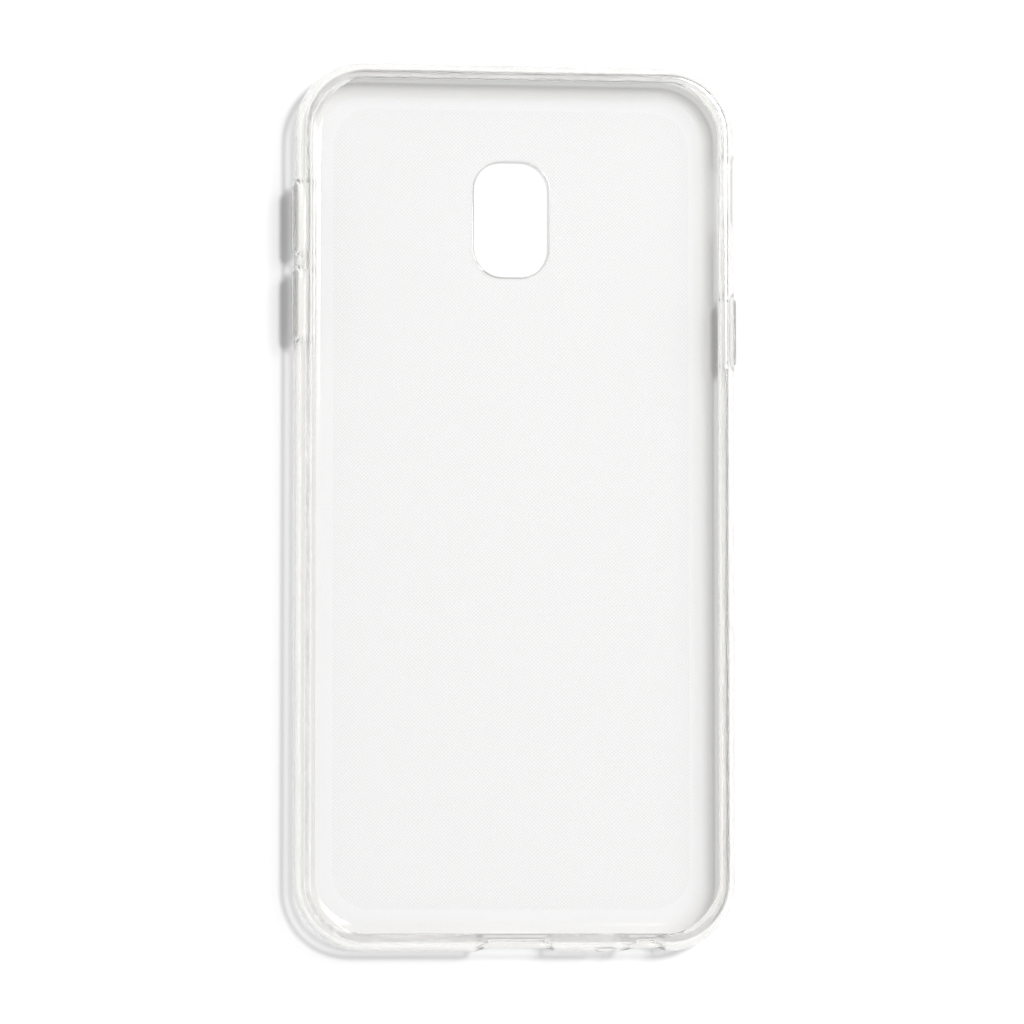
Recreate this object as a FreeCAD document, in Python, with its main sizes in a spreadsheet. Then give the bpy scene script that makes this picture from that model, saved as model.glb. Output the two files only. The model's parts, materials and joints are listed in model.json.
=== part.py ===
import FreeCAD, Part
import math
import os
from Sketcher import Constraint

# Clear soft phone case, moulded in one shot: a flat back, rounded sides, a lip that holds the
# phone in, and three button covers that flex inwards. Millimetres. The origin is the centre of
# the back's outer face, +X is the right side seen from the open front, +Y is the top end of the
# phone, and +Z points out of the open front.

doc = FreeCAD.newDocument("phone_case")
sheet = doc.addObject("Spreadsheet::Sheet", "Sizes")

DRIVING_SIZES = [
    # the phone that the case fits
    ("phone_width", 70.3),
    ("phone_length", 143.2),
    ("phone_depth", 8.2),
    ("fit_gap", 0.05),
    # the moulding
    ("wall_thickness", 1.35),
    ("panel_thickness", 0.9),
    ("lip_thickness", 0.7),
    ("back_radius", 4.9),
    ("side_radius", 7.8),
    ("corner_radius", 11.6),
    ("lip_side_reach", 3.35),
    ("lip_end_reach", 3.0),
    ("lip_corner_radius", 9.6),
    ("lip_edge_radius", 0.3),
    # camera window in the back
    ("window_width", 12.5),
    ("window_length", 19.2),
    ("window_radius", 4.8),
    ("window_place", 48.0),
    # cut-outs in the walls
    ("port_width", 12.5),
    ("port_height", 5.8),
    ("port_radius", 2.2),
    ("jack_width", 7.2),
    ("jack_place", 21.2),
    ("mic_width", 3.4),
    ("mic_height", 2.0),
    ("mic_place", 15.0),
    ("speaker_length", 11.7),
    ("speaker_height", 3.0),
    ("speaker_place", 52.6),
    # button covers and the thin webs around them
    ("button_length", 11.5),
    ("button_height", 4.0),
    ("button_radius", 1.2),
    ("button_proud", 0.3),
    ("button_depth", 1.5),
    ("button_edge_radius", 0.3),
    ("web_width", 0.6),
    ("web_thickness", 0.4),
    ("volume_up_place", 47.1),
    ("volume_down_place", 32.95),
    ("power_place", 29.1),
]

for row, (alias, number) in enumerate(DRIVING_SIZES, start=1):
    sheet.set(f"A{row}", alias)
    sheet.set(f"B{row}", str(number))
    sheet.setAlias(f"B{row}", alias)
doc.recompute()

# Sizes that follow from the driving ones, written as expressions for the sketches.
HALF_WIDTH = "(Sizes.phone_width / 2 + Sizes.fit_gap + Sizes.wall_thickness)"
HALF_LENGTH = "(Sizes.phone_length / 2 + Sizes.fit_gap + Sizes.wall_thickness)"
LIP_BASE = "(Sizes.panel_thickness + Sizes.phone_depth)"
LIP_RISE = f"({LIP_BASE} - Sizes.back_radius)"
INNER_BACK_RADIUS = "(Sizes.back_radius - Sizes.wall_thickness)"
INNER_SIDE_RADIUS = "(Sizes.side_radius - Sizes.wall_thickness)"
TOP_SET_IN = f"(Sizes.side_radius - sqrt(Sizes.side_radius ^ 2 - {LIP_RISE} ^ 2))"
BUTTON_INNER_FACE = f"({HALF_WIDTH} + Sizes.button_proud - Sizes.button_depth)"
SIDE_SPAN = f"(2 * ({HALF_LENGTH} - Sizes.corner_radius))"
END_SPAN = f"(2 * ({HALF_WIDTH} - Sizes.corner_radius))"

# A wall is drawn facing its body's +X and turned about Z to its place.
TURN = {"right": 0, "top": 90, "left": 180, "bottom": 270}


def number_of(expression):
    """The value of an expression, as a plain number."""
    return float(sheet.evalExpression(str(expression)))


def new_body(label):
    """An empty body whose label is the sub-part's name."""
    body = doc.addObject("PartDesign::Body", label)
    body.Label = label
    return body


def new_sketch(body, name, plane, offset="0"):
    """A sketch on one of the body's origin planes, moved along the plane's normal."""
    sketch = body.newObject("Sketcher::SketchObject", f"{body.Name}_{name}")
    origin_plane = next(f for f in body.Origin.OriginFeatures if f.Role == plane)
    sketch.AttachmentSupport = [(origin_plane, "")]
    sketch.MapMode = "FlatFace"
    sketch.setExpression("AttachmentOffset.Base.z", offset)
    return sketch


def bind(sketch, kind, places, expression):
    """A dimension in a sketch that follows an expression."""
    index = sketch.addConstraint(Constraint(kind, *places, number_of(expression)))
    sketch.setExpression(f"Constraints[{index}]", str(expression))


def place_point(sketch, geometry, end, across, up):
    """Ties one end of a line or arc to a place measured from the sketch's origin."""
    if number_of(across) == 0:
        sketch.addConstraint(Constraint("PointOnObject", geometry, end, -2))
    else:
        bind(sketch, "DistanceX", (-1, 1, geometry, end), across)
    if number_of(up) == 0:
        sketch.addConstraint(Constraint("PointOnObject", geometry, end, -1))
    else:
        bind(sketch, "DistanceY", (-1, 1, geometry, end), up)


def rounded_rectangle(sketch, width, height, radius, across="0", up="0"):
    """A closed rectangle with round corners; across and up place its centre."""
    centre = FreeCAD.Vector(number_of(across), number_of(up), 0)
    flat_x = number_of(width) / 2 - number_of(radius)
    flat_y = number_of(height) / 2 - number_of(radius)
    round_size = number_of(radius)
    corners = []
    for turn, (side_x, side_y) in enumerate(((1, 1), (-1, 1), (-1, -1), (1, -1))):
        middle = centre + FreeCAD.Vector(side_x * flat_x, side_y * flat_y, 0)
        circle = Part.Circle(middle, FreeCAD.Vector(0, 0, 1), round_size)
        start = turn * math.pi / 2
        corners.append(sketch.addGeometry(Part.ArcOfCircle(circle, start, start + math.pi / 2)))
    for index, arc in enumerate(corners):
        following = corners[(index + 1) % 4]
        start = sketch.getPoint(arc, 2)
        finish = sketch.getPoint(following, 1)
        line = sketch.addGeometry(Part.LineSegment(start, finish))
        sketch.addConstraint(Constraint("Tangent", arc, 2, line, 1))
        sketch.addConstraint(Constraint("Tangent", line, 2, following, 1))
        sketch.addConstraint(Constraint("Horizontal" if index % 2 == 0 else "Vertical", line))
    for arc in corners[1:]:
        sketch.addConstraint(Constraint("Equal", corners[0], arc))
    bind(sketch, "Radius", (corners[0],), radius)
    bind(sketch, "DistanceX", (corners[1], 3, corners[0], 3), f"{width} - 2 * {radius}")
    bind(sketch, "DistanceY", (corners[3], 3, corners[0], 3), f"{height} - 2 * {radius}")
    place_point(sketch, corners[0], 3, f"{across} + {width} / 2 - {radius}",
                f"{up} + {height} / 2 - {radius}")


def stadium(sketch, length, height, across, up):
    """A slot with half-round ends, as long and high as given."""
    centre = FreeCAD.Vector(number_of(across), number_of(up), 0)
    end_radius = number_of(height) / 2
    reach = number_of(length) / 2 - end_radius
    ends = []
    for side, start in ((1, -math.pi / 2), (-1, math.pi / 2)):
        middle = centre + FreeCAD.Vector(side * reach, 0, 0)
        circle = Part.Circle(middle, FreeCAD.Vector(0, 0, 1), end_radius)
        ends.append(sketch.addGeometry(Part.ArcOfCircle(circle, start, start + math.pi)))
    for first, second in ((ends[0], ends[1]), (ends[1], ends[0])):
        line = sketch.addGeometry(Part.LineSegment(sketch.getPoint(first, 2), sketch.getPoint(second, 1)))
        sketch.addConstraint(Constraint("Tangent", first, 2, line, 1))
        sketch.addConstraint(Constraint("Tangent", line, 2, second, 1))
    sketch.addConstraint(Constraint("Horizontal", line))
    bind(sketch, "Radius", (ends[0],), f"{height} / 2")
    bind(sketch, "DistanceX", (ends[1], 3, ends[0], 3), f"{length} - {height}")
    place_point(sketch, ends[0], 3, f"{across} + ({length} - {height}) / 2", up)


def wall_section(sketch, reach):
    """The wall's C-shaped section: reach is how far out its widest point stands."""
    inner_reach = f"({reach} - Sizes.wall_thickness)"
    foot = f"({reach} - Sizes.back_radius)"
    side_centre = f"({reach} - Sizes.side_radius)"
    widest_up = "Sizes.back_radius"
    inner_turn_up = f"(Sizes.panel_thickness + {INNER_BACK_RADIUS})"
    top_outer = f"({reach} - {TOP_SET_IN})"
    top_inner = f"({side_centre} + sqrt({INNER_SIDE_RADIUS} ^ 2 - {LIP_RISE} ^ 2))"
    corners = [
        (foot, "0"),
        (reach, widest_up),
        (top_outer, LIP_BASE),
        (top_inner, LIP_BASE),
        (inner_reach, widest_up),
        (inner_reach, inner_turn_up),
        (foot, "Sizes.panel_thickness"),
    ]
    # radius and centre of each curved run, by the corner that it starts from
    curves = {
        0: ("Sizes.back_radius", foot, widest_up),
        1: ("Sizes.side_radius", side_centre, widest_up),
        3: (INNER_SIDE_RADIUS, side_centre, widest_up),
        5: (INNER_BACK_RADIUS, foot, inner_turn_up),
    }
    points = [FreeCAD.Vector(number_of(x), number_of(y), 0) for x, y in corners]
    runs = []
    for index, start in enumerate(points):
        finish = points[(index + 1) % len(points)]
        if index not in curves:
            runs.append((sketch.addGeometry(Part.LineSegment(start, finish)), 1, 2))
            continue
        radius, centre_x, centre_y = curves[index]
        centre = FreeCAD.Vector(number_of(centre_x), number_of(centre_y), 0)
        angles = [math.atan2(p.y - centre.y, p.x - centre.x) for p in (start, finish)]
        circle = Part.Circle(centre, FreeCAD.Vector(0, 0, 1), number_of(radius))
        arc = sketch.addGeometry(Part.ArcOfCircle(circle, min(angles), max(angles)))
        first, last = (1, 2) if angles[0] < angles[1] else (2, 1)
        runs.append((arc, first, last))
        bind(sketch, "Radius", (arc,), radius)
    for index, (geometry, first, last) in enumerate(runs):
        following, its_first, _ = runs[(index + 1) % len(runs)]
        sketch.addConstraint(Constraint("Coincident", geometry, last, following, its_first))
        place_point(sketch, geometry, first, *corners[index])


def pad(body, sketch, length, symmetric=False):
    """Pushes a sketch out along its normal."""
    feature = body.newObject("PartDesign::Pad", f"{sketch.Name}_pad")
    feature.Profile = sketch
    feature.setExpression("Length", length)
    if symmetric:
        feature.SideType = "Symmetric"
    sketch.Visibility = False
    return feature


def cut_through(body, sketch, length):
    """Cuts a sketch out of the body along the sketch's normal, and makes sure that it cuts."""
    doc.recompute()
    volume_before = body.Shape.Volume
    feature = body.newObject("PartDesign::Pocket", f"{sketch.Name}_cut")
    feature.Profile = sketch
    feature.Reversed = True
    feature.setExpression("Length", length)
    sketch.Visibility = False
    doc.recompute()
    if body.Shape.Volume >= volume_before:
        raise RuntimeError(f"{sketch.Name} cuts nothing")
    return feature


def round_edges(body, feature, radius, wanted):
    """Rounds the edges of a feature that the test wanted(edge) picks."""
    doc.recompute()
    names = [f"Edge{i}" for i, edge in enumerate(feature.Shape.Edges, start=1) if wanted(edge)]
    fillet = body.newObject("PartDesign::Fillet", f"{feature.Name}_rounding")
    fillet.Base = (feature, names)
    fillet.setExpression("Radius", radius)
    feature.Visibility = False
    return fillet


def turn_to(body, side, across=0.0, along=0.0):
    """Turns a body about Z to face its side of the case, and moves it."""
    turn = FreeCAD.Rotation(FreeCAD.Vector(0, 0, 1), TURN[side])
    body.Placement = FreeCAD.Placement(FreeCAD.Vector(across, along, 0), turn)


def make_back_panel():
    """The flat back, with the camera window."""
    body = new_body("back_panel")
    outline = new_sketch(body, "outline", "XY_Plane")
    rounded_rectangle(outline, f"2 * ({HALF_WIDTH} - Sizes.back_radius)",
                      f"2 * ({HALF_LENGTH} - Sizes.back_radius)",
                      "(Sizes.corner_radius - Sizes.back_radius)")
    pad(body, outline, "Sizes.panel_thickness")
    window = new_sketch(body, "window", "XY_Plane")
    rounded_rectangle(window, "Sizes.window_width", "Sizes.window_length",
                      "Sizes.window_radius", up="Sizes.window_place")
    cut_through(body, window, "Sizes.panel_thickness")
    return body


def make_wall(label, side, reach, span, openings):
    """One straight wall. openings holds (name, shape, sizes...) drawn on the wall's face."""
    body = new_body(label)
    section = new_sketch(body, "section", "XZ_Plane")
    wall_section(section, reach)
    pad(body, section, span, symmetric=True)
    for name, draw, sizes in openings:
        opening = new_sketch(body, name, "YZ_Plane")
        draw(opening, *sizes)
        cut_through(body, opening, f"({reach} + Sizes.wall_thickness)")
    turn_to(body, side)
    return body


def make_corner(label, side, side_x, side_y):
    """One corner: the wall's section swept a quarter turn about the corner's centre."""
    body = new_body(label)
    section = new_sketch(body, "section", "XZ_Plane")
    wall_section(section, "Sizes.corner_radius")
    sweep = body.newObject("PartDesign::Revolution", f"{label}_sweep")
    sweep.Profile = section
    sweep.ReferenceAxis = (section, ["V_Axis"])
    sweep.Angle = 90
    section.Visibility = False
    doc.recompute()
    if sweep.Shape.BoundBox.YMax < number_of("Sizes.corner_radius") / 2:
        sweep.Reversed = True
    turn_to(body, side, side_x * number_of(END_SPAN) / 2, side_y * number_of(SIDE_SPAN) / 2)
    return body


def make_front_lip():
    """The lip around the open front, which reaches inwards over the phone's face."""
    body = new_body("front_lip")
    outline = new_sketch(body, "outline", "XY_Plane", offset=LIP_BASE)
    rounded_rectangle(outline, f"2 * ({HALF_WIDTH} - {TOP_SET_IN})",
                      f"2 * ({HALF_LENGTH} - {TOP_SET_IN})",
                      f"(Sizes.corner_radius - {TOP_SET_IN})")
    rounded_rectangle(outline, f"2 * ({HALF_WIDTH} - Sizes.lip_side_reach)",
                      f"2 * ({HALF_LENGTH} - Sizes.lip_end_reach)", "Sizes.lip_corner_radius")
    ring = pad(body, outline, "Sizes.lip_thickness")
    top = number_of(f"{LIP_BASE} + Sizes.lip_thickness")
    round_edges(body, ring, "Sizes.lip_edge_radius",
                lambda edge: edge.BoundBox.ZMin > top - 0.01)
    return body


def make_button(label, side, place):
    """One button cover: a raised pad, and the thin web that joins it to the wall around it."""
    cover = new_body(f"{label}_cover")
    face = new_sketch(cover, "face", "YZ_Plane", offset=BUTTON_INNER_FACE)
    rounded_rectangle(face, "Sizes.button_length", "Sizes.button_height",
                      "Sizes.button_radius", place, "Sizes.back_radius")
    block = pad(cover, face, "Sizes.button_depth")
    outer_face = number_of(f"{HALF_WIDTH} + Sizes.button_proud")
    round_edges(cover, block, "Sizes.button_edge_radius",
                lambda edge: edge.BoundBox.XMin > outer_face - 0.01)
    turn_to(cover, side)

    web = new_body(f"{label}_web")
    ring = new_sketch(web, "ring", "YZ_Plane", offset=BUTTON_INNER_FACE)
    rounded_rectangle(ring, "Sizes.button_length", "Sizes.button_height",
                      "Sizes.button_radius", place, "Sizes.back_radius")
    rounded_rectangle(ring, *web_outline(), place, "Sizes.back_radius")
    pad(web, ring, "Sizes.web_thickness")
    turn_to(web, side)
    return [cover, web]


def web_outline():
    """Length, height and corner radius of the hole in the wall that a button's web fills."""
    return ("(Sizes.button_length + 2 * Sizes.web_width)",
            "(Sizes.button_height + 2 * Sizes.web_width)",
            "(Sizes.button_radius + Sizes.web_width)")


def button_hole(name, place):
    """A wall's opening for one button cover and its web."""
    return (name, rounded_rectangle, (*web_outline(), place, "Sizes.back_radius"))


# A body turned by 180 degrees has its own Y reversed, so the left side's places change sign.
VOLUME_UP = "(-Sizes.volume_up_place)"
VOLUME_DOWN = "(-Sizes.volume_down_place)"
POWER = "Sizes.power_place"
MID_HEIGHT = "Sizes.back_radius"

subparts = [
    make_back_panel(),
    make_wall("left_wall", "left", HALF_WIDTH, SIDE_SPAN, [
        button_hole("volume_up_hole", VOLUME_UP),
        button_hole("volume_down_hole", VOLUME_DOWN),
    ]),
    make_wall("right_wall", "right", HALF_WIDTH, SIDE_SPAN, [
        button_hole("power_hole", POWER),
        ("speaker_slot", stadium,
         ("Sizes.speaker_length", "Sizes.speaker_height", "Sizes.speaker_place", MID_HEIGHT)),
    ]),
    make_wall("top_wall", "top", HALF_LENGTH, END_SPAN, []),
    make_wall("bottom_wall", "bottom", HALF_LENGTH, END_SPAN, [
        ("port_opening", rounded_rectangle,
         ("Sizes.port_width", "Sizes.port_height", "Sizes.port_radius", "0", MID_HEIGHT)),
        ("jack_opening", stadium,
         ("Sizes.jack_width", "Sizes.port_height", "Sizes.jack_place", MID_HEIGHT)),
        ("microphone_hole", stadium,
         ("Sizes.mic_width", "Sizes.mic_height", "Sizes.mic_place", MID_HEIGHT)),
    ]),
    make_corner("top_right_corner", "right", 1, 1),
    make_corner("top_left_corner", "top", -1, 1),
    make_corner("bottom_left_corner", "left", -1, -1),
    make_corner("bottom_right_corner", "bottom", 1, -1),
    make_front_lip(),
    *make_button("volume_up", "left", VOLUME_UP),
    *make_button("volume_down", "left", VOLUME_DOWN),
    *make_button("power", "right", POWER),
]

doc.recompute()
for item in doc.Objects:
    if "Invalid" in item.State or "Error" in item.State:
        raise RuntimeError(f"{item.Name} failed: {item.State}")
for body in subparts:
    if body.Shape.isNull() or not body.Shape.isValid() or len(body.Shape.Solids) != 1:
        raise RuntimeError(f"{body.Label} has no single valid solid")

os.makedirs("parts", exist_ok=True)
for body in subparts:
    body.Shape.exportStep(f"parts/{body.Label}.step")
    box = body.Shape.BoundBox
    print(f"{body.Label:20s} {body.Shape.Volume:9.2f} mm3  "
          f"x {box.XMin:7.2f} {box.XMax:7.2f}  y {box.YMin:7.2f} {box.YMax:7.2f}  "
          f"z {box.ZMin:6.2f} {box.ZMax:6.2f}")
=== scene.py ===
"""Clear soft phone case lying on its back, open front up, on a white table.

The static regions of the moulding are shown as one seamless clear skin, and the three button
covers as pads that move in the holes of their webs. Metres, in the axes of the frame.
"""

import json
import math

import bmesh
import bpy
from mathutils import Matrix, Vector


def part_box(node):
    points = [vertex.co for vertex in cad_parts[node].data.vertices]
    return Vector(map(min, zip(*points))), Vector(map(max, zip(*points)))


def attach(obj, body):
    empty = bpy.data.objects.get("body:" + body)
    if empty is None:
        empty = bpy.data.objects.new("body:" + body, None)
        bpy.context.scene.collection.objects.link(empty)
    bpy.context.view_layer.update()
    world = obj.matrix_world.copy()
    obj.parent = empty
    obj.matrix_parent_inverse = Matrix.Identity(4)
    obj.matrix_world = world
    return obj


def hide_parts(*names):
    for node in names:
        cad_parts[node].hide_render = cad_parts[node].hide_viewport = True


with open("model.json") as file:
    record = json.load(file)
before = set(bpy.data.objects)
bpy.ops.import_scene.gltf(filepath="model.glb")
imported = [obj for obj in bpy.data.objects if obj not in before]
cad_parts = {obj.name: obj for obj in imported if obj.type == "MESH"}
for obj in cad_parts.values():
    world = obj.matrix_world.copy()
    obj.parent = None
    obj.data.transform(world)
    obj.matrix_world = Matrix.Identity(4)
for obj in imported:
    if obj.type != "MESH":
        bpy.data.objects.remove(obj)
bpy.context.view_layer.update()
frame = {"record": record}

MM = 0.001
MERGE_DISTANCE = 0.001 * MM

# --- sizes read from the frame ------------------------------------------------------------

HALF_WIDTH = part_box("right_wall")[1].x
HALF_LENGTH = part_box("top_wall")[1].y
FLAT_HALF_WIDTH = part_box("back_panel")[1].x
FLAT_HALF_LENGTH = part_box("back_panel")[1].y
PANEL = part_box("back_panel")[1].z
LIP_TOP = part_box("front_lip")[1].z
CORNER_RADIUS = HALF_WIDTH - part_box("top_right_corner")[0].x
BACK_RADIUS = HALF_WIDTH - FLAT_HALF_WIDTH

# --- sizes of the section and of the openings ----------------------------------------------

WALL = 1.35 * MM
SIDE_RADIUS = 7.8 * MM
INNER_BACK_RADIUS = BACK_RADIUS - WALL
INNER_SIDE_RADIUS = SIDE_RADIUS - WALL
MID_HEIGHT = BACK_RADIUS
LIP_SIDE_REACH = 3.35 * MM
LIP_END_REACH = 3.0 * MM
LIP_CORNER_EXTRA = 0.45 * MM
LIP_THICKNESS = 0.66 * MM
HOLE_EDGE = 0.22 * MM
SUPPORT = 0.05 * MM

# The skin's materials, by slot. The window rim's slot is frosted, and its darker colour is painted
# shade for the dark outline round the window.
SHELL, DOTTED, FROSTED_SHADED_RIM, FLAT = range(4)

# How far across a face each ring round an opening lies, and how much wider it is.
WALL_RINGS = ((0.3, SUPPORT), (0.6, SUPPORT), (0.85, SUPPORT), (1.0, SUPPORT), (1.0, 0.0))
PANEL_RINGS = ((0.25, SUPPORT), (0.5, SUPPORT), (0.7, SUPPORT), (0.85, SUPPORT),
               (0.94, SUPPORT), (1.0, SUPPORT), (1.0, 0.0))
ROUNDING_STEPS = 4

WINDOW = {"width": 12.5 * MM, "length": 19.2 * MM, "radius": 4.8 * MM, "place": 48.0 * MM}
OPENINGS = [
    {"side": "right", "place": 52.6 * MM, "length": 11.7 * MM, "height": 3.0 * MM,
     "radius": 1.5 * MM, "block": 6.85 * MM},
    {"side": "bottom", "place": 0.0, "length": 12.5 * MM, "height": 5.8 * MM,
     "radius": 2.2 * MM, "block": 7.3 * MM},
    {"side": "bottom", "place": 15.0 * MM, "length": 3.4 * MM, "height": 2.0 * MM,
     "radius": 1.0 * MM, "block": 2.3 * MM},
    {"side": "bottom", "place": 21.2 * MM, "length": 7.2 * MM, "height": 5.8 * MM,
     "radius": 2.9 * MM, "block": 3.9 * MM},
]

BUTTON_RADIUS = 1.2 * MM
BUTTON_GAP = 0.03 * MM
BUTTON_BLOCK = 7.075 * MM
WEB_WIDTH = 0.6 * MM
WEB_THICKNESS = 0.4 * MM

BUTTONS = []
for name in ("volume_up", "volume_down", "power"):
    low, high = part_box(f"{name}_cover")
    side = "right" if low.x > 0 else "left"
    BUTTONS.append({
        "name": name, "side": side, "place": (low.y + high.y) / 2,
        "length": high.y - low.y, "height": high.z - low.z, "radius": BUTTON_RADIUS,
        "face": max(abs(low.x), abs(high.x)), "back": min(abs(low.x), abs(high.x)),
        "block": BUTTON_BLOCK, "button": True,
    })


# --- outlines ------------------------------------------------------------------------------

class RoundedRectangle:
    """A rounded rectangle about the origin, walked anticlockwise from the middle of its lower
    left corner."""

    def __init__(self, width, height, radius):
        self.flat = (width - 2 * radius, height - 2 * radius)
        self.radius = radius
        self.half = (width / 2 - radius, height / 2 - radius)
        self.quarter = math.pi / 2 * radius
        self.length = 2 * sum(self.flat) + 4 * self.quarter

    def at(self, distance):
        """The point and the outward normal after that distance."""
        distance = (distance + self.quarter / 2) % self.length
        signs = ((-1, -1), (1, -1), (1, 1), (-1, 1))
        for turn in range(4):
            centre = Vector((signs[turn][0] * self.half[0], signs[turn][1] * self.half[1]))
            start = math.pi + turn * math.pi / 2
            if distance <= self.quarter:
                angle = start + (distance / self.radius if self.radius else 0.0)
                normal = Vector((math.cos(angle), math.sin(angle)))
                return centre + normal * self.radius, normal
            distance -= self.quarter
            flat = self.flat[turn % 2]
            if distance <= flat:
                normal = Vector((math.cos(start + math.pi / 2), math.sin(start + math.pi / 2)))
                along = Vector((-normal.y, normal.x))
                return centre + normal * self.radius + along * distance, normal
            distance -= flat
        return self.at(0)

    def side_start(self, turn):
        """Distance at which side number turn (0 bottom, 1 right, 2 top, 3 left) begins."""
        return self.quarter / 2 + turn * self.quarter + sum(self.flat[i % 2] for i in range(turn))

    def loop(self, across, up):
        """Points for a block's border: across, up, across and up of them, each group from the
        middle of one corner to the middle of the next."""
        points = []
        for turn, count in enumerate((across, up, across, up)):
            start = self.side_start(turn) - self.quarter / 2
            span = self.flat[turn % 2] + self.quarter
            points += [self.at(start + span * i / count)[0] for i in range(count)]
        return points


CASE = RoundedRectangle(2 * HALF_WIDTH, 2 * HALF_LENGTH, CORNER_RADIUS)
SIDES = ("bottom", "right", "top", "left")


def walk_to(side, place):
    """Distance round the case to a place on one of its straight sides."""
    turn = SIDES.index(side)
    middle = CASE.side_start(turn) + CASE.flat[turn % 2] / 2
    return middle + (place if side in ("bottom", "right") else -place)


def outer_inset(height):
    """How far the outer surface stands in from the widest outline at a height."""
    if height < MID_HEIGHT:
        return BACK_RADIUS - math.sqrt(BACK_RADIUS ** 2 - (MID_HEIGHT - height) ** 2)
    return SIDE_RADIUS - math.sqrt(SIDE_RADIUS ** 2 - (height - MID_HEIGHT) ** 2)


def inner_inset(height):
    """The same for the inner surface."""
    turn_height = PANEL + INNER_BACK_RADIUS
    if height < turn_height:
        drop = min(turn_height - height, INNER_BACK_RADIUS)
        return BACK_RADIUS - math.sqrt(INNER_BACK_RADIUS ** 2 - drop ** 2)
    if height < MID_HEIGHT:
        return WALL
    return SIDE_RADIUS - math.sqrt(INNER_SIDE_RADIUS ** 2 - (height - MID_HEIGHT) ** 2)


# --- the section, from the outer foot up, over the lip and down to the inner foot -----------

LOW_BLOCK_ANGLE = math.radians(45)
HIGH_OUTER_ANGLE = math.radians(26.4)
TOP_OUTER_ANGLE = math.radians(34.5)
LOW_INNER_ANGLE = math.radians(60)
HIGH_INNER_ANGLE = math.radians(30)
TOP_INNER_ANGLE = math.radians(39.5)


def arc(centre, radius, start, end, steps, up=1.0):
    """Points of a circular arc in the section, as (inset, height), without the first."""
    angles = [start + (end - start) * i / steps for i in range(1, steps + 1)]
    return [(centre[0] - radius * math.cos(a), centre[1] + up * radius * math.sin(a))
            for a in angles]


def corner_share(normal):
    """0 on a straight side, 1 in the middle of a corner."""
    return (2 * abs(normal.x * normal.y)) ** 2


def lip_reach(normal):
    """How far the lip reaches in from the widest outline."""
    sideways = normal.x ** 2
    straight = LIP_SIDE_REACH * sideways + LIP_END_REACH * (1 - sideways)
    return straight + LIP_CORNER_EXTRA * corner_share(normal)


def section(normal):
    """The section at one station, and the index ranges of its outer and inner blocks."""
    outer_low = (BACK_RADIUS, MID_HEIGHT)
    outer_high = (SIDE_RADIUS, MID_HEIGHT)
    inner_low = (BACK_RADIUS, PANEL + INNER_BACK_RADIUS)
    points = [(BACK_RADIUS, 0.0)]
    points += arc(outer_low, BACK_RADIUS, -math.pi / 2, -LOW_BLOCK_ANGLE, 7)
    outer_start = len(points) - 1
    points += arc(outer_low, BACK_RADIUS, -LOW_BLOCK_ANGLE, 0, 9)
    points += arc(outer_high, SIDE_RADIUS, 0, HIGH_OUTER_ANGLE, 6)
    outer_end = len(points) - 1
    points += arc(outer_high, SIDE_RADIUS, HIGH_OUTER_ANGLE, TOP_OUTER_ANGLE, 3)
    reach = lip_reach(normal)
    points += lip_curve(points[-1], reach)
    points += arc(outer_high, INNER_SIDE_RADIUS, TOP_INNER_ANGLE, HIGH_INNER_ANGLE, 3)
    inner_start = len(points) - 1
    points += arc(outer_high, INNER_SIDE_RADIUS, HIGH_INNER_ANGLE, 0, 6)
    points += arc(inner_low, INNER_BACK_RADIUS, 0, 0, 1)
    points += arc(inner_low, INNER_BACK_RADIUS, 0, -LOW_INNER_ANGLE, 8)
    inner_end = len(points) - 1
    points += arc(inner_low, INNER_BACK_RADIUS, -LOW_INNER_ANGLE, -math.pi / 2, 5)
    return points, (outer_start, outer_end), (inner_start, inner_end)


def lip_curve(start, reach):
    """The lip's round outer shoulder, its flat top, its round inner edge and its underside."""
    shoulder = 0.42 * MM
    edge = 0.30 * MM
    top = LIP_TOP
    under = LIP_TOP - LIP_THICKNESS
    shoulder_in = start[0] + 0.10 * MM
    points = []
    for i in range(1, 6):
        share = i / 5
        angle = math.radians(20 + 70 * share)
        points.append((shoulder_in + shoulder * (1 - math.cos(angle)) * 1.2,
                       top - shoulder * (1 - math.sin(angle))))
    flat_end = reach - edge
    flat_start = points[-1][0]
    for share in (0.34, 0.67, 1.0):
        points.append((flat_start + (flat_end - flat_start) * share, top))
    for i in range(1, 6):
        angle = math.pi / 2 * i / 5
        points.append((reach - edge + edge * math.sin(angle), top - edge * (1 - math.cos(angle))))
    low_edge = 0.18 * MM
    points.append((reach, under + low_edge))
    for i in range(1, 4):
        angle = math.pi / 2 * i / 3
        points.append((reach - low_edge * (1 - math.cos(angle)),
                       under + low_edge * (1 - math.sin(angle))))
    last = arc((SIDE_RADIUS, MID_HEIGHT), INNER_SIDE_RADIUS, 0, TOP_INNER_ANGLE, 1)[0]
    points.append(((points[-1][0] + last[0]) / 2, (points[-1][1] + last[1]) / 2))
    points.append(last)
    return points


# --- mesh building -------------------------------------------------------------------------

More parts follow.
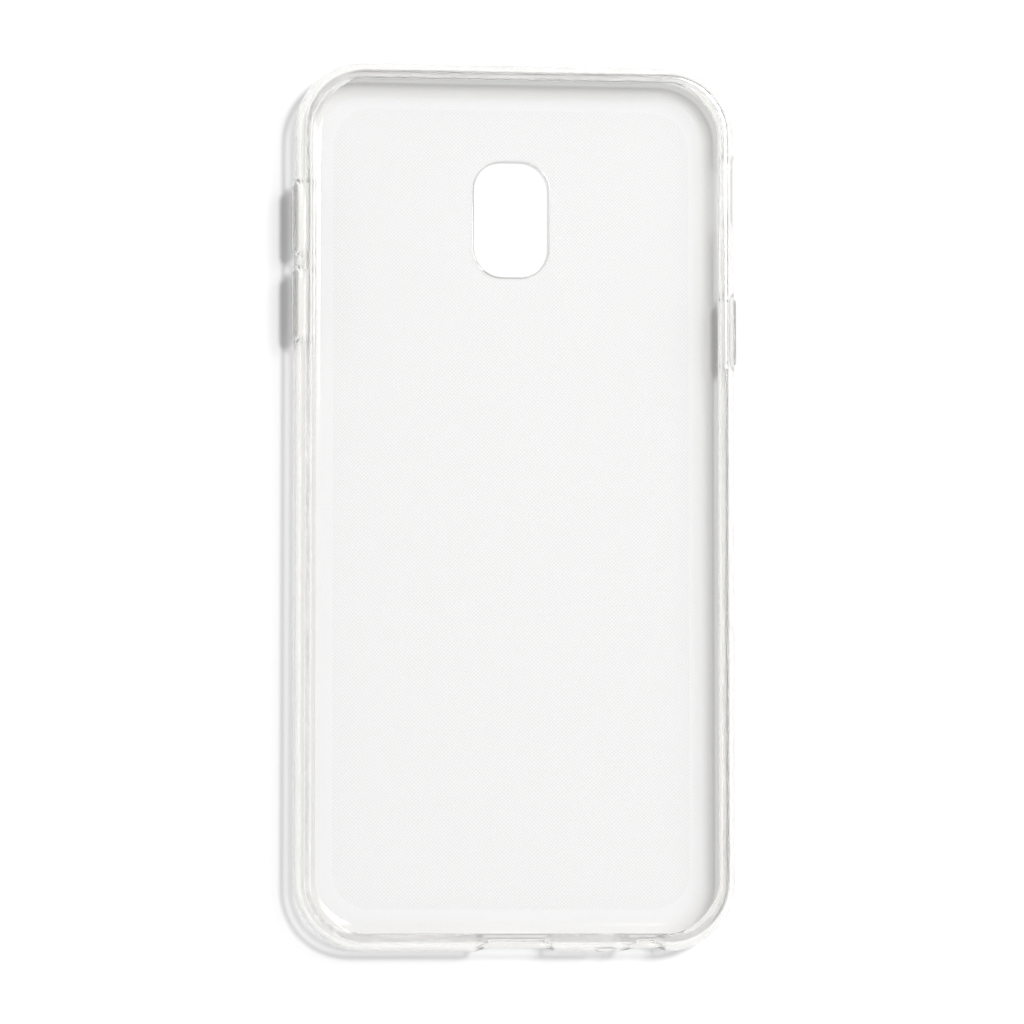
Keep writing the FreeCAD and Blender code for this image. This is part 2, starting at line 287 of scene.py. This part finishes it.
class MeshMaker:
    """Collects vertices and faces of one closed mesh."""

    def __init__(self):
        self.vertices = []
        self.faces = []
        self.slots = []

    def add(self, point):
        self.vertices.append(tuple(point))
        return len(self.vertices) - 1

    def face(self, corners, slot=SHELL):
        self.faces.append(corners)
        self.slots.append(slot)

    def bridge(self, first, second, slot=SHELL):
        """Quads between two closed loops of the same length."""
        for i in range(len(first)):
            after = (i + 1) % len(first)
            self.face((first[i], first[after], second[after], second[i]), slot)

    def build(self, name, materials):
        mesh = bpy.data.meshes.new(name)
        mesh.from_pydata(self.vertices, [], self.faces)
        for material in materials:
            mesh.materials.append(material)
        mesh.polygons.foreach_set("material_index", self.slots)
        shape = bmesh.new()
        shape.from_mesh(mesh)
        bmesh.ops.remove_doubles(shape, verts=shape.verts, dist=MERGE_DISTANCE)
        bmesh.ops.recalc_face_normals(shape, faces=shape.faces)
        shape.to_mesh(mesh)
        shape.free()
        mesh.shade_smooth()
        piece = bpy.data.objects.new(name, mesh)
        bpy.context.scene.collection.objects.link(piece)
        return piece


def on_wall(distance, inset, height):
    """A point in space: so far round the case, so far in from its widest outline, so high."""
    point, normal = CASE.at(distance)
    place = point - normal * inset
    return (place.x, place.y, height)


def station_distances(blocks):
    """Distances round the case at which the section stands, with each block evenly divided."""
    marks = []
    for turn in range(4):
        start = CASE.side_start(turn)
        marks += [start, start + CASE.flat[turn % 2]]
    marks = [m for m in marks if not any(b["start"] < m < b["end"] for b in blocks)]
    for block in blocks:
        marks += [block["start"], block["end"]]
    marks = sorted(set(round(m, 9) for m in marks))
    stations = []
    for index, mark in enumerate(marks):
        following = marks[index + 1] if index + 1 < len(marks) else marks[0] + CASE.length
        middle = (mark + following) / 2
        inside = next((b for b in blocks if b["start"] < middle < b["end"]), None)
        on_corner = abs(CASE.at(middle)[1].x * CASE.at(middle)[1].y) > 0.01
        step = 0.8 * MM if inside else (1.0 * MM if on_corner else 3.0 * MM)
        count = max(1, math.ceil((following - mark) / step - 0.01))
        if inside:
            inside["first"] = len(stations)
            inside["count"] = count
        stations += [mark + (following - mark) * i / count for i in range(count)]
    return stations


def block_loop(grid, block, rows):
    """Vertex numbers round a block, from its lower left corner seen from outside."""
    first, last = block["first"], block["first"] + block["count"]
    low, high = rows
    step = 1 if high > low else -1
    columns = [i % len(grid) for i in range(first, last + 1)]
    bottom = [grid[c][low] for c in columns[:-1]]
    right = [grid[columns[-1]][r] for r in range(low, high, step)]
    top = [grid[c][high] for c in reversed(columns[1:])]
    left = [grid[columns[0]][r] for r in range(high, low, -step)]
    return bottom + right + top + left


def opening_points(block, border, grow, inset, share=1.0):
    """A ring of wall points: share 0 is the block's border and 1 the opening's outline."""
    outline = RoundedRectangle(block["length"] + 2 * grow, block["height"] + 2 * grow,
                               block["radius"] + grow).loop(block["count"], block["rows"])
    middle = (block["start"] + block["end"]) / 2
    points = []
    for edge, place in zip(border, outline):
        distance = edge[0] + (middle + place.x - edge[0]) * share
        height = edge[1] + (MID_HEIGHT + place.y - edge[1]) * share
        points.append(on_wall(distance, inset(height), height))
    return points


def pierce(maker, block, outer_loop, inner_loop, borders):
    """Fills a block's two faces round its opening, and joins them through the wall."""
    pocket = WEB_WIDTH if block.get("button") else 0.0
    gap = BUTTON_GAP if block.get("button") else 0.0

    def ring(border, grow, inset, share=1.0):
        return [maker.add(p) for p in opening_points(block, border, grow, inset, share)]

    def step_towards(loop, border, grow, inset):
        for share, extra in WALL_RINGS:
            following = ring(border, grow + extra, inset, share)
            maker.bridge(loop, following)
            loop = following
        return loop

    outer_border, inner_border = borders
    loop = step_towards(outer_loop, outer_border, gap + HOLE_EDGE, outer_inset)
    for i in range(1, ROUNDING_STEPS + 1):
        angle = math.pi / 2 * i / ROUNDING_STEPS
        grow = gap + HOLE_EDGE * (1 - math.sin(angle))
        sink = HOLE_EDGE * (1 - math.cos(angle))
        following = ring(outer_border, grow, lambda h, sink=sink: outer_inset(h) + sink)
        maker.bridge(loop, following)
        loop = following
    if pocket:
        def web_inner(height):
            return outer_inset(height) + WEB_THICKNESS

        following = ring(outer_border, gap, web_inner)
        maker.bridge(loop, following)
        loop = following
        for grow in (pocket * 0.5, pocket * 0.85, pocket):
            extra = 0.12 * MM if grow == pocket else 0.0
            following = ring(outer_border, gap + grow, lambda h, e=extra: web_inner(h) + e)
            maker.bridge(loop, following)
            loop = following
    final = gap + pocket
    for i in range(ROUNDING_STEPS, -1, -1):
        angle = math.pi / 2 * i / ROUNDING_STEPS
        grow = final + HOLE_EDGE * (1 - math.sin(angle))
        sink = HOLE_EDGE * (1 - math.cos(angle))
        following = ring(outer_border, grow, lambda h, sink=sink: inner_inset(h) - sink)
        maker.bridge(loop, following)
        loop = following
    inner = step_towards(inner_loop, inner_border, final + HOLE_EDGE, inner_inset)
    maker.bridge(inner, loop)


def window_point(share, grow):
    """A point of the camera window's outline, a share of the way round from its lowest middle."""
    outline = RoundedRectangle(WINDOW["width"] + 2 * grow, WINDOW["length"] + 2 * grow,
                               WINDOW["radius"] + grow)
    start = outline.side_start(0) + outline.flat[0] / 2
    return outline.at(start + share * outline.length)[0] + Vector((0.0, WINDOW["place"]))


def make_skin(materials):
    """The whole static moulding as one closed mesh."""
    maker = MeshMaker()
    blocks = []
    for opening in OPENINGS + BUTTONS:
        middle = walk_to(opening["side"], opening["place"])
        blocks.append(dict(opening, start=middle - opening["block"],
                           end=middle + opening["block"]))
    stations = station_distances(blocks)
    grid = []
    for distance in stations:
        normal = CASE.at(distance)[1]
        points, outer_rows, inner_rows = section(normal)
        grid.append([maker.add(on_wall(distance, *p)) for p in points])
    columns = len(stations)

    def in_block(column, row):
        for block in blocks:
            if (column - block["first"]) % columns < block["count"]:
                if outer_rows[0] <= row < outer_rows[1] or inner_rows[0] <= row < inner_rows[1]:
                    return True
        return False

    for column in range(columns):
        after = (column + 1) % columns
        for row in range(len(grid[0]) - 1):
            if not in_block(column, row):
                maker.face((grid[column][row], grid[after][row],
                            grid[after][row + 1], grid[column][row + 1]))

    for block in blocks:
        block["rows"] = outer_rows[1] - outer_rows[0]
        borders = []
        loops = []
        for low, high in (outer_rows, (inner_rows[1], inner_rows[0])):
            loop = block_loop(grid, block, (low, high))
            heights = [maker.vertices[v][2] for v in loop]
            count, rows = block["count"], block["rows"]
            marks = ([i / count for i in range(count)] + [1.0] * rows
                     + [1 - i / count for i in range(count)] + [0.0] * rows)
            span = block["end"] - block["start"]
            borders.append([(block["start"] + span * m, z) for m, z in zip(marks, heights)])
            loops.append(loop)
        pierce(maker, block, loops[0], loops[1], borders)

    shares = [(distance - walk_to("bottom", 0.0)) / CASE.length for distance in stations]
    make_panel(maker, [g[0] for g in grid], [g[-1] for g in grid], shares)
    return maker.build("clear_case", materials)


def make_panel(maker, outer_foot, inner_foot, shares):
    """The flat back between the walls' feet and the camera window, which it also rounds."""

    def window_ring(loop, height, grow, towards=1.0):
        ring = []
        for v, share in zip(loop, shares):
            place = Vector(maker.vertices[v][:2]).lerp(window_point(share, grow), towards)
            ring.append(maker.add((place.x, place.y, height)))
        return ring

    edge = 0.25 * MM
    dotted_inset = 2.0 * MM
    rims = []
    for foot, height, side in ((outer_foot, 0.0, 1), (inner_foot, PANEL, -1)):
        loop = foot
        slot = FLAT if side > 0 else DOTTED
        if side < 0:
            narrower = 1 - dotted_inset / FLAT_HALF_WIDTH
            shorter = 1 - dotted_inset / FLAT_HALF_LENGTH
            ring = []
            for v in foot:
                x, y, _ = maker.vertices[v]
                ring.append(maker.add((x * narrower, y * shorter, height)))
            maker.bridge(foot, ring, FLAT)
            loop = ring
        base = loop
        for towards, extra in PANEL_RINGS:
            following = window_ring(base, height, edge + extra, towards)
            maker.bridge(loop, following, slot)
            loop = following
        # The rounded rim round the window takes the frosted rim slot, whose darker colour is
        # painted shade.
        for i in range(1, ROUNDING_STEPS + 1):
            angle = math.pi / 2 * i / ROUNDING_STEPS
            grow = edge * (1 - math.sin(angle))
            following = window_ring(base, height + side * edge * (1 - math.cos(angle)), grow)
            maker.bridge(loop, following, FROSTED_SHADED_RIM)
            loop = following
        rims.append(loop)
    maker.bridge(*rims, FROSTED_SHADED_RIM)


def make_pad(button, material):
    """One raised button pad: sloping sides, a slightly crowned face and a flat back."""
    maker = MeshMaker()
    sign = 1 if button["side"] == "right" else -1
    half_height = button["height"] / 2
    face = button["face"]
    back = button["back"]
    shoulder = HALF_WIDTH - 0.30 * MM
    crown = 0.16 * MM

    def ring(shrink_along, shrink_up, reach, radius):
        outline = RoundedRectangle(button["length"] - 2 * shrink_along,
                                   button["height"] - 2 * shrink_up, radius).loop(24, 10)
        points = []
        for place in outline:
            drop = crown * (place.y / half_height) ** 2
            x = reach if reach <= shoulder else reach - drop
            points.append(maker.add((sign * x, button["place"] + sign * place.x,
                                     MID_HEIGHT + place.y)))
        return points

    soft = 0.15 * MM
    rings = [
        ring(2.0 * MM, 1.4 * MM, back, 0.4 * MM),
        ring(soft, soft, back, BUTTON_RADIUS - soft),
        ring(soft * 0.3, soft * 0.3, back + soft * 0.3, BUTTON_RADIUS - soft * 0.3),
        ring(0, 0, back + soft, BUTTON_RADIUS),
        ring(0, 0, shoulder, BUTTON_RADIUS),
        ring(0.10 * MM, 0.05 * MM, shoulder + 0.15 * MM, BUTTON_RADIUS),
        ring(0.38 * MM, 0.22 * MM, face - 0.12 * MM, BUTTON_RADIUS - 0.1 * MM),
        ring(0.48 * MM, 0.30 * MM, face - 0.05 * MM, BUTTON_RADIUS - 0.2 * MM),
        ring(0.62 * MM, 0.44 * MM, face - 0.01 * MM, BUTTON_RADIUS - 0.3 * MM),
        ring(0.85 * MM, 0.65 * MM, face, BUTTON_RADIUS - 0.4 * MM),
        ring(2.0 * MM, 1.4 * MM, face, 0.4 * MM),
    ]
    for first, second in zip(rings, rings[1:]):
        maker.bridge(first, second)
    maker.face(tuple(reversed(rings[0])))
    maker.face(tuple(rings[-1]))
    return maker.build(f"{button['name']}_pad", [material])


# --- materials -----------------------------------------------------------------------------

def new_material(name):
    """A material with an empty node tree, and a function that adds a node to it."""
    material = bpy.data.materials.new(name)
    material.use_nodes = True
    tree = material.node_tree
    tree.nodes.clear()

    def node(kind, **inputs):
        made = tree.nodes.new(kind)
        for socket, value in inputs.items():
            made.inputs[socket].default_value = value
        return made

    return material, tree.links, node


def clear_tpu(name, straight_share, slant_share, roughness=0.08, colour=0.97, warmth=0.975,
              clear=0.92, dotted=False):
    """Clear soft TPU: glass-like, faintly warm, with fine moulding ripples and, inside the back,
    a staggered field of tiny, faintly bumped dots whose darker tone is painted shade. The shares
    are those of lamp_tint."""
    material, links, node = new_material(name)
    place = node("ShaderNodeTexCoord")
    ripple = node("ShaderNodeTexNoise", Scale=220.0, Detail=2.0)
    links.new(place.outputs["Object"], ripple.inputs["Vector"])
    bump = node("ShaderNodeBump", Strength=0.002, Distance=0.0004)
    links.new(ripple.outputs["Fac"], bump.inputs["Height"])
    glass = node("ShaderNodeBsdfPrincipled", Roughness=roughness, IOR=1.49)
    glass.inputs["Transmission Weight"].default_value = clear
    glass.inputs["Base Color"].default_value = (colour, colour * 0.995, colour * warmth, 1.0)
    links.new(bump.outputs["Normal"], glass.inputs["Normal"])
    if dotted:
        dots = dot_height(links, node, place)
        dot_bump = node("ShaderNodeBump", Strength=0.01, Distance=0.00006)
        links.new(dots, dot_bump.inputs["Height"])
        links.new(bump.outputs["Normal"], dot_bump.inputs["Normal"])
        links.new(dot_bump.outputs["Normal"], glass.inputs["Normal"])
        # The dots are real moulded bumps, but their darker colour is painted shade standing in for
        # how the tiny clear dots break up the light.
        dot_shade_colour = node("ShaderNodeMix")
        dot_shade_colour.data_type = "RGBA"
        dot_shade_colour.inputs[6].default_value = (colour, colour, colour * 0.995, 1.0)
        dot_shade_colour.inputs[7].default_value = (0.84, 0.84, 0.84, 1.0)
        links.new(dots, dot_shade_colour.inputs[0])
        links.new(dot_shade_colour.outputs[2], glass.inputs["Base Color"])
    lamp_side = node("ShaderNodeBsdfTransparent")
    tint = lamp_tint(links, node, straight_share, slant_share)
    links.new(tint, lamp_side.inputs["Color"])
    path = node("ShaderNodeLightPath")
    either = node("ShaderNodeMath")
    either.operation = "MAXIMUM"
    links.new(path.outputs["Is Shadow Ray"], either.inputs[0])
    links.new(path.outputs["Is Diffuse Ray"], either.inputs[1])
    mix = node("ShaderNodeMixShader")
    links.new(either.outputs[0], mix.inputs["Fac"])
    links.new(glass.outputs[0], mix.inputs[1])
    links.new(lamp_side.outputs[0], mix.inputs[2])
    output = node("ShaderNodeOutputMaterial")
    links.new(mix.outputs[0], output.inputs["Surface"])
    return material


def lamp_tint(links, node, straight_share, slant_share):
    """What share of the light a surface lets on to the table: less where it's met at a slant."""
    slant = node("ShaderNodeLayerWeight", Blend=0.5)
    steep = node("ShaderNodeMath")
    steep.operation = "POWER"
    steep.inputs[1].default_value = 2.0
    links.new(slant.outputs["Facing"], steep.inputs[0])
    tint = node("ShaderNodeMix")
    tint.data_type = "RGBA"
    tint.inputs[6].default_value = (straight_share, straight_share, straight_share, 1.0)
    tint.inputs[7].default_value = (slant_share, slant_share, slant_share, 1.0)
    links.new(steep.outputs[0], tint.inputs[0])
    return tint.outputs[2]


def dot_height(links, node, place):
    """Height of a staggered field of small round dots: two square lattices, half a pitch apart."""
    pitch = 0.62 * MM
    distances = []
    for shift in (0.0, 0.5):
        scaled = node("ShaderNodeVectorMath")
        scaled.operation = "MULTIPLY_ADD"
        scaled.inputs[1].default_value = (1 / pitch, 1 / pitch, 0.0)
        scaled.inputs[2].default_value = (shift, shift, 0.5)
        links.new(place.outputs["Object"], scaled.inputs[0])
        cell = node("ShaderNodeVectorMath")
        cell.operation = "FRACTION"
        links.new(scaled.outputs[0], cell.inputs[0])
        length = node("ShaderNodeVectorMath")
        length.operation = "DISTANCE"
        length.inputs[1].default_value = (0.5, 0.5, 0.5)
        links.new(cell.outputs[0], length.inputs[0])
        distances.append(length.outputs["Value"])
    nearest = node("ShaderNodeMath")
    nearest.operation = "MINIMUM"
    links.new(distances[0], nearest.inputs[0])
    links.new(distances[1], nearest.inputs[1])
    profile = node("ShaderNodeMapRange")
    profile.interpolation_type = "SMOOTHSTEP"
    profile.inputs["From Min"].default_value = 0.16
    profile.inputs["From Max"].default_value = 0.32
    profile.inputs["To Min"].default_value = 1.0
    profile.inputs["To Max"].default_value = 0.0
    links.new(nearest.outputs[0], profile.inputs["Value"])
    return profile.outputs["Result"]


def white_table(name):
    """A matte white table top with a barely visible grain."""
    material, links, node = new_material(name)
    place = node("ShaderNodeTexCoord")
    grain = node("ShaderNodeTexNoise", Scale=900.0, Detail=3.0)
    links.new(place.outputs["Object"], grain.inputs["Vector"])
    bump = node("ShaderNodeBump", Strength=0.02, Distance=0.0002)
    links.new(grain.outputs["Fac"], bump.inputs["Height"])
    surface = node("ShaderNodeBsdfPrincipled", Roughness=0.8)
    surface.inputs["Base Color"].default_value = (0.95, 0.95, 0.95, 1.0)
    links.new(bump.outputs["Normal"], surface.inputs["Normal"])
    output = node("ShaderNodeOutputMaterial")
    links.new(surface.outputs[0], output.inputs["Surface"])
    return material


# --- stage, light and camera ---------------------------------------------------------------

def make_floor():
    """A wide plain table top under the case."""
    half = 3.0
    maker = MeshMaker()
    corners = [maker.add((x * half, y * half, -0.00002))
               for x, y in ((-1, -1), (1, -1), (1, 1), (-1, 1))]
    maker.face(tuple(corners))
    floor = maker.build("table_top", [white_table("white_table")])


def make_world():
    """Soft room light: pale walls all round, dimmer overhead."""
    world = bpy.data.worlds.new("studio")
    bpy.context.scene.world = world
    world.use_nodes = True
    tree = world.node_tree
    tree.nodes.clear()
    place = tree.nodes.new("ShaderNodeTexCoord")
    parts = tree.nodes.new("ShaderNodeSeparateXYZ")
    tree.links.new(place.outputs["Generated"], parts.inputs[0])
    ramp = tree.nodes.new("ShaderNodeValToRGB")
    ramp.color_ramp.elements[0].position = 0.0
    ramp.color_ramp.elements[0].color = (1, 1, 1, 1)
    ramp.color_ramp.elements[1].position = 0.4
    ramp.color_ramp.elements[1].color = (0.64, 0.64, 0.64, 1)
    tree.links.new(parts.outputs["Z"], ramp.inputs["Fac"])
    background = tree.nodes.new("ShaderNodeBackground")
    background.inputs["Strength"].default_value = WORLD_STRENGTH
    tree.links.new(ramp.outputs["Color"], background.inputs["Color"])
    output = tree.nodes.new("ShaderNodeOutputWorld")
    tree.links.new(background.outputs[0], output.inputs["Surface"])


def make_lamp(name, place, aim, size, power):
    """A soft box, size across and up."""
    light = bpy.data.lights.new(name, "AREA")
    light.shape = "RECTANGLE"
    light.size, light.size_y = size
    light.energy = power
    lamp = bpy.data.objects.new(name, light)
    lamp.location = place
    lamp.rotation_mode = "QUATERNION"
    lamp.rotation_quaternion = (Vector(aim) - Vector(place)).to_track_quat("-Z", "Y")
    bpy.context.scene.collection.objects.link(lamp)


def make_camera():
    """A long lens almost straight above, leaning a little to the left and to the bottom end."""
    distance = 0.9
    frame_width = 0.1684
    sensor = 0.036
    aim = Vector((-0.41 * MM, -0.90 * MM, MID_HEIGHT))
    lean = Vector((-0.12, -0.07, 1.0)).normalized()
    data = bpy.data.cameras.new("camera")
    data.sensor_width = sensor * 1000
    data.lens = sensor * 1000 * distance / frame_width
    data.clip_start = 0.01
    data.clip_end = 20
    camera = bpy.data.objects.new("camera", data)
    camera.location = aim + lean * distance
    right = Vector((0.0, 1.0, 0.0)).cross(lean).normalized()
    camera.rotation_euler = Matrix((right, lean.cross(right), lean)).transposed().to_euler()
    bpy.context.scene.collection.objects.link(camera)
    bpy.context.scene.camera = camera


WORLD_STRENGTH = 0.74
KEY_PLACE, KEY_SIZE, KEY_POWER = (1.04, 0.82, 4.0), (0.6, 0.45), 94.0
SIDE_PLACE, SIDE_SIZE, SIDE_POWER = (1.04, 0.66, 2.0), (0.5, 0.5), 11.5
LAMP_AIM = (0, 0, 0)
LIGHT_BOUNCES = 24
GLOSSY_BOUNCES = 16
STATIC_NODES = frame["record"]["behaviour"]["bodies"]["case"]

make_camera()
make_floor()
make_world()
make_lamp("key", KEY_PLACE, LAMP_AIM, KEY_SIZE, KEY_POWER)
make_lamp("side", SIDE_PLACE, LAMP_AIM, SIDE_SIZE, SIDE_POWER)
bpy.context.scene.view_settings.view_transform = "Standard"
bpy.context.scene.cycles.max_bounces = LIGHT_BOUNCES
bpy.context.scene.cycles.glossy_bounces = GLOSSY_BOUNCES
bpy.context.scene.cycles.transmission_bounces = LIGHT_BOUNCES

shell = clear_tpu("clear_tpu", 0.985, 0.02)
dotted_shell = clear_tpu("clear_tpu_dotted", 0.985, 0.02, roughness=0.03, colour=0.985,
                         warmth=0.995, dotted=True)
flat_shell = clear_tpu("clear_tpu_flat", 0.985, 0.02, roughness=0.05, colour=0.985, warmth=0.995)
# The camera window's rounded rim: rougher, like a frosted cut, and darkened to 0.72 as painted
# shade for the dark outline at the window's edge.
frosted_shaded_rim = clear_tpu("clear_tpu_frosted_shaded_rim", 0.90, 0.02, roughness=0.35, colour=0.72)
pad_material = clear_tpu("clear_tpu_pad", 0.30, 0.0, clear=0.9)
skin = make_skin([shell, dotted_shell, frosted_shaded_rim, flat_shell])
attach(skin, "case")
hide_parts(*STATIC_NODES)
for button in BUTTONS:
    pad = make_pad(button, pad_material)
    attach(pad, f"{button['name']}_button")
    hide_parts(f"{button['name']}_cover")
